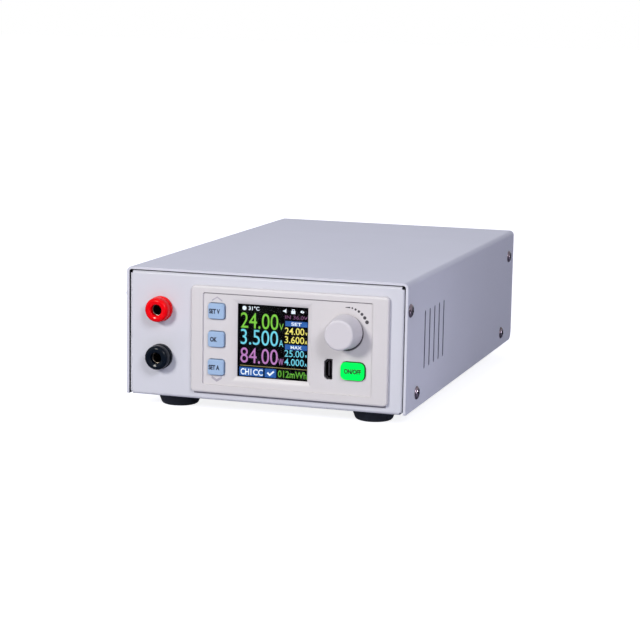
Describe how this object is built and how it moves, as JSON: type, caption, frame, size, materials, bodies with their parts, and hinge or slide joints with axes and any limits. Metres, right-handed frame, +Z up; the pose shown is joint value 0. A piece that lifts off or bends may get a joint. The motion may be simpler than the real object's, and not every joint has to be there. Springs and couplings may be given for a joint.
{
  "type": "laboratory power supply",
  "caption": "Small bench power supply in a folded steel case: sockets for safety plugs, colour display, keys, encoder knob and output button at the front, mains inlet and fan behind.",
  "frame": {"origin": "on the table the feet stand on, under the middle of the overall box", "axes": "+Z up; the front panel faces -Y and the mains inlet +Y; the output sockets are on the -X side"},
  "size_m": [0.117, 0.1998, 0.0565],
  "materials": {
    "cover_paint": "fine textured light grey powder coat",
    "chassis_paint": "fine textured light grey powder coat",
    "screw_steel": "zinc plated steel",
    "foot_rubber": "matt black rubber",
    "red_plastic": "satin red polyamide",
    "black_plastic": "satin black moulding",
    "bezel_plastic": "warm light grey moulding",
    "key_plastic": "light blue silicone",
    "lit_green": "translucent, lit from behind",
    "display_glass": "glossy dark display with coloured figures",
    "contact_metal": "plated brass",
    "plated_metal": "nickel plating",
    "aluminium": "extruded, plain",
    "board": "green solder mask",
    "terminal_plastic": "green moulding",
    "ferrite": "dark ferrite and tape",
    "copper_winding": "enamelled copper wire",
    "red_wire": "flexible insulation",
    "black_wire": "flexible insulation"
  },
  "bodies": {
    "case": {"chassis": "chassis_paint", "top_cover": "cover_paint", "foot_front_left": "foot_rubber", "foot_front_right": "foot_rubber", "foot_rear_left": "foot_rubber", "foot_rear_right": "foot_rubber", "cover_screw_left_front_upper": "screw_steel", "cover_screw_left_front_lower": "screw_steel", "cover_screw_left_rear_upper": "screw_steel", "cover_screw_left_rear_lower": "screw_steel", "cover_screw_right_front_upper": "screw_steel", "cover_screw_right_front_lower": "screw_steel", "cover_screw_right_rear_upper": "screw_steel", "cover_screw_right_rear_lower": "screw_steel", "positive_jack_shell": "red_plastic", "positive_jack_sleeve": "contact_metal", "positive_jack_nut": "plated_metal", "negative_jack_shell": "black_plastic", "negative_jack_sleeve": "contact_metal", "negative_jack_nut": "plated_metal", "module_bezel": "bezel_plastic", "display_glass": "display_glass", "display_panel": "black_plastic", "usb_socket": "plated_metal", "encoder_body": "plated_metal", "control_board": "board", "converter_board": "board", "converter_heatsink": "aluminium", "converter_inductor": "copper_winding", "converter_capacitor_1": "black_plastic", "converter_capacitor_2": "black_plastic", "converter_terminal_block": "terminal_plastic", "supply_board": "board", "supply_transformer": "ferrite", "supply_bulk_capacitor": "black_plastic", "supply_choke": "copper_winding", "supply_heatsink": "aluminium", "supply_output_capacitor_1": "black_plastic", "supply_output_capacitor_2": "black_plastic", "supply_output_terminal": "terminal_plastic", "supply_mains_terminal": "terminal_plastic", "inlet_housing": "black_plastic", "inlet_pin_line": "plated_metal", "inlet_pin_neutral": "plated_metal", "inlet_pin_earth": "plated_metal", "fan_frame": "black_plastic", "output_wire_positive": "red_wire", "output_wire_negative": "black_wire"},
    "voltage_key_body": {"voltage_key": "key_plastic"},
    "ok_key_body": {"ok_key": "key_plastic"},
    "current_key_body": {"current_key": "key_plastic"},
    "output_button_body": {"output_button": "lit_green"},
    "plunger_body": {"encoder_plunger": "black_plastic"},
    "knob_body": {"knob": "bezel_plastic", "encoder_shaft": "aluminium"},
    "rocker_body": {"power_rocker": "black_plastic"},
    "drawer_body": {"fuse_drawer": "black_plastic", "fuse": "plated_metal"},
    "rotor_body": {"fan_rotor": "black_plastic"}
  },
  "joints": [
    {"name": "voltage_key_press", "type": "slide", "parent": "case", "child": "voltage_key_body", "axis": [0, 1, 0], "range_m": [0, 0.0005], "stiffness_N_per_m": 1000},
    {"name": "ok_key_press", "type": "slide", "parent": "case", "child": "ok_key_body", "axis": [0, 1, 0], "range_m": [0, 0.0005], "stiffness_N_per_m": 1000},
    {"name": "current_key_press", "type": "slide", "parent": "case", "child": "current_key_body", "axis": [0, 1, 0], "range_m": [0, 0.0005], "stiffness_N_per_m": 1000},
    {"name": "output_button_press", "type": "slide", "parent": "case", "child": "output_button_body", "axis": [0, 1, 0], "range_m": [0, 0.0005], "stiffness_N_per_m": 1000},
    {"name": "knob_press", "type": "slide", "parent": "case", "child": "plunger_body", "axis": [0, 1, 0], "range_m": [0, 0.0005], "stiffness_N_per_m": 2000},
    {"name": "knob_turn", "type": "hinge", "parent": "plunger_body", "child": "knob_body", "pos_m": [0.0338, -0.0881, 0.03685], "axis": [0, -1, 0], "continuous": true},
    {"name": "rocker_tilt", "type": "hinge", "parent": "case", "child": "rocker_body", "pos_m": [-0.04025, 0.0934, 0.0303], "axis": [1, 0, 0], "range_deg": [0, 20]},
    {"name": "fuse_drawer_slide", "type": "slide", "parent": "case", "child": "drawer_body", "axis": [0, 1, 0], "range_m": [0, 0.015]},
    {"name": "fan_spin", "type": "hinge", "parent": "case", "child": "rotor_body", "pos_m": [0.0321, 0.0868, 0.0303], "axis": [0, 1, 0], "continuous": true}
  ]
}
